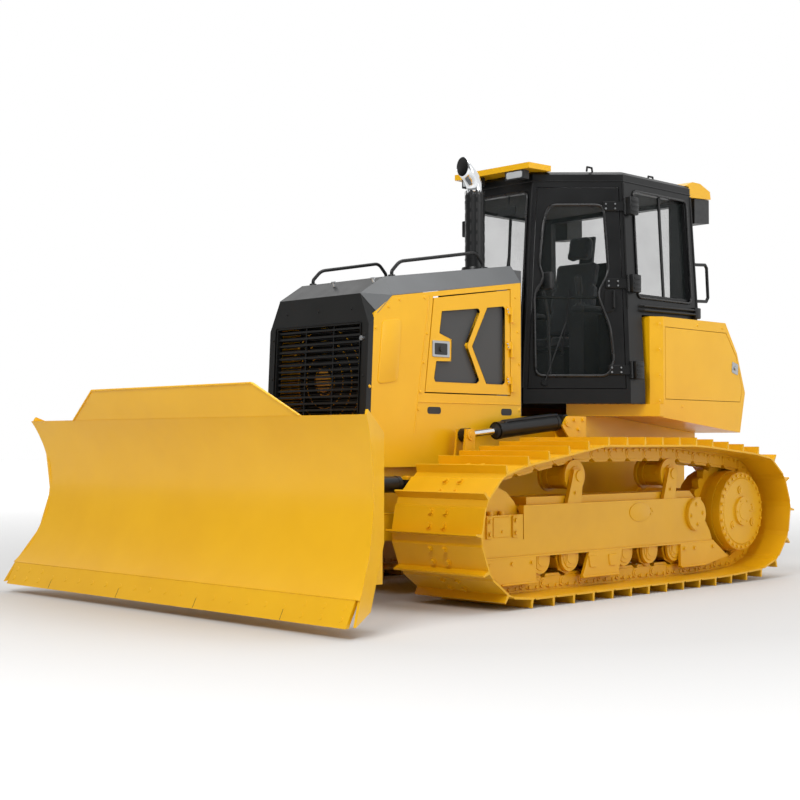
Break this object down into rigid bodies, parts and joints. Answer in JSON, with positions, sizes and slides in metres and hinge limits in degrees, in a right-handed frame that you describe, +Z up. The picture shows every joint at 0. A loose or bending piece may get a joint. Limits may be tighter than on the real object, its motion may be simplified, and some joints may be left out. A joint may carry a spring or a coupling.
{
  "type": "crawler bulldozer",
  "caption": "Crawler bulldozer on wide tracks with an enclosed cab, a sloping louvred nose and a front blade that lifts, angles and tilts on a push frame.",
  "frame": {"origin": "on the ground, midway along the overall length and between the two tracks", "axes": "+Z up, +Y towards the rear of the machine, +X towards its left side as seen from the seat"},
  "size_m": [3.3068, 4.81, 2.873],
  "materials": {
    "yellow": "semi-gloss enamel",
    "dark_grey": "satin enamel",
    "black": "satin enamel",
    "track_steel": "enamel over rolled steel",
    "rod_chrome": "polished",
    "glass": "clear",
    "plastic": "textured",
    "cushion": "woven",
    "iron": "raw"
  },
  "bodies": {
    "chassis": {"cab_fittings": "plastic", "cab_glass": "glass", "cab_lamps": "plastic", "cab_roof": "black", "cab_shell": "black", "drawbar": "black", "engine": "iron", "exhaust": "dark_grey", "fenders": "yellow", "final_drives": "yellow", "grille": "black", "handrails": "black", "hood": "dark_grey", "hood_sides": "yellow", "hull": "yellow", "nose": "dark_grey", "radiator": "black", "rollers": "track_steel", "seat": "cushion", "tank": "yellow", "track_frame_left": "yellow", "track_frame_right": "yellow", "track_left": "track_steel", "track_right": "track_steel", "visors": "yellow"},
    "push_frame": {"push_frame": "yellow"},
    "lift_barrels": {"lift_barrels": "black"},
    "lift_rods": {"lift_rods": "rod_chrome"},
    "yoke": {"yoke": "yellow"},
    "blade": {"moldboard": "yellow", "cutting_edge": "yellow"},
    "tilt_barrel": {"tilt_barrel": "black"},
    "tilt_rod": {"tilt_rod": "rod_chrome"},
    "angle_barrel_left": {"angle_barrel_left": "black"},
    "angle_rod_left": {"angle_rod_left": "rod_chrome"},
    "cab_door_left": {"cab_door_left": "black", "cab_door_glass_left": "glass"},
    "engine_door_left": {"engine_door_left": "yellow", "engine_door_mesh_left": "black"},
    "fender_hatch_left": {"fender_hatch_left": "yellow"},
    "angle_barrel_right": {"angle_barrel_right": "black"},
    "angle_rod_right": {"angle_rod_right": "rod_chrome"},
    "cab_door_right": {"cab_door_right": "black", "cab_door_glass_right": "glass"},
    "engine_door_right": {"engine_door_right": "yellow", "engine_door_mesh_right": "black"},
    "fender_hatch_right": {"fender_hatch_right": "yellow"}
  },
  "joints": [
    {"name": "lift", "type": "hinge", "parent": "chassis", "child": "push_frame", "pos_m": [0, 0.35, 0.45], "axis": [-1, 0, 0], "range_deg": [-10, 20]},
    {"name": "lift_barrels_swing", "type": "hinge", "parent": "chassis", "child": "lift_barrels", "pos_m": [0, 0.527, 1.092], "axis": [-1, 0, 0], "range_deg": [-8.55, 16.53]},
    {"name": "lift_rods_stroke", "type": "slide", "parent": "lift_barrels", "child": "lift_rods", "axis": [0, -0.9951, -0.0984], "range_m": [-0.2246, 0.1133]},
    {"name": "angle", "type": "hinge", "parent": "push_frame", "child": "yoke", "pos_m": [0, -1.88, 0.45], "axis": [0, 0, 1], "range_deg": [-25, 25]},
    {"name": "angle_barrel_swing_left", "type": "hinge", "parent": "push_frame", "child": "angle_barrel_left", "pos_m": [0.59, -0.985, 0.7], "axis": [0, 0, 1], "range_deg": [-1.75, 1.75]},
    {"name": "angle_rod_stroke_left", "type": "slide", "parent": "angle_barrel_left", "child": "angle_rod_left", "axis": [-0.0767, -0.9971, 0], "range_m": [-0.22377, 0.22377]},
    {"name": "angle_barrel_swing_right", "type": "hinge", "parent": "push_frame", "child": "angle_barrel_right", "pos_m": [-0.59, -0.985, 0.7], "axis": [0, 0, 1], "range_deg": [-1.75, 1.75]},
    {"name": "angle_rod_stroke_right", "type": "slide", "parent": "angle_barrel_right", "child": "angle_rod_right", "axis": [0.0767, -0.9971, 0], "range_m": [-0.22377, 0.22377]},
    {"name": "tilt", "type": "hinge", "parent": "yoke", "child": "blade", "pos_m": [0, -1.88, 0.45], "axis": [0, 1, 0], "range_deg": [-8, 8]},
    {"name": "tilt_barrel_swing", "type": "hinge", "parent": "yoke", "child": "tilt_barrel", "pos_m": [-0.08, -1.877, 0.93], "axis": [0, 1, 0], "range_deg": [-7.7, 7.7]},
    {"name": "tilt_rod_stroke", "type": "slide", "parent": "tilt_barrel", "child": "tilt_rod", "axis": [1, 0, 0], "range_m": [-0.06893, 0.06893]},
    {"name": "cab_door_left", "type": "hinge", "parent": "chassis", "child": "cab_door_left", "pos_m": [0.81846, 0.97236, 1.21897], "axis": [-0.055, 0.0194, 0.9983], "range_deg": [0, 120]},
    {"name": "engine_door_left", "type": "hinge", "parent": "chassis", "child": "engine_door_left", "pos_m": [0.472, 0.111, 1.264], "axis": [0, 0, 1], "range_deg": [0, 95]},
    {"name": "fender_hatch_left", "type": "hinge", "parent": "chassis", "child": "fender_hatch_left", "pos_m": [0.87, 1.296, 1.256], "axis": [0, 0, -1], "range_deg": [0, 95]},
    {"name": "cab_door_right", "type": "hinge", "parent": "chassis", "child": "cab_door_right", "pos_m": [-0.81846, 0.97236, 1.21897], "axis": [-0.055, -0.0194, -0.9983], "range_deg": [0, 120]},
    {"name": "engine_door_right", "type": "hinge", "parent": "chassis", "child": "engine_door_right", "pos_m": [-0.472, 0.111, 1.264], "axis": [0, 0, -1], "range_deg": [0, 95]},
    {"name": "fender_hatch_right", "type": "hinge", "parent": "chassis", "child": "fender_hatch_right", "pos_m": [-0.87, 1.296, 1.256], "axis": [0, 0, 1], "range_deg": [0, 95]}
  ],
  "couplings": [
    {"joint": "lift_barrels_swing", "follows": "lift", "ratio": 0.79805},
    {"joint": "lift_rods_stroke", "follows": "lift", "m_per_rad": -0.6377},
    {"joint": "angle_barrel_swing_left", "follows": "angle", "ratio": -0.04688},
    {"joint": "angle_rod_stroke_left", "follows": "angle", "m_per_rad": -0.50826},
    {"joint": "angle_barrel_swing_right", "follows": "angle", "ratio": -0.04688},
    {"joint": "angle_rod_stroke_right", "follows": "angle", "m_per_rad": 0.50826},
    {"joint": "tilt_barrel_swing", "follows": "tilt", "ratio": 0.89114},
    {"joint": "tilt_rod_stroke", "follows": "tilt", "m_per_rad": 0.47932}
  ]
}
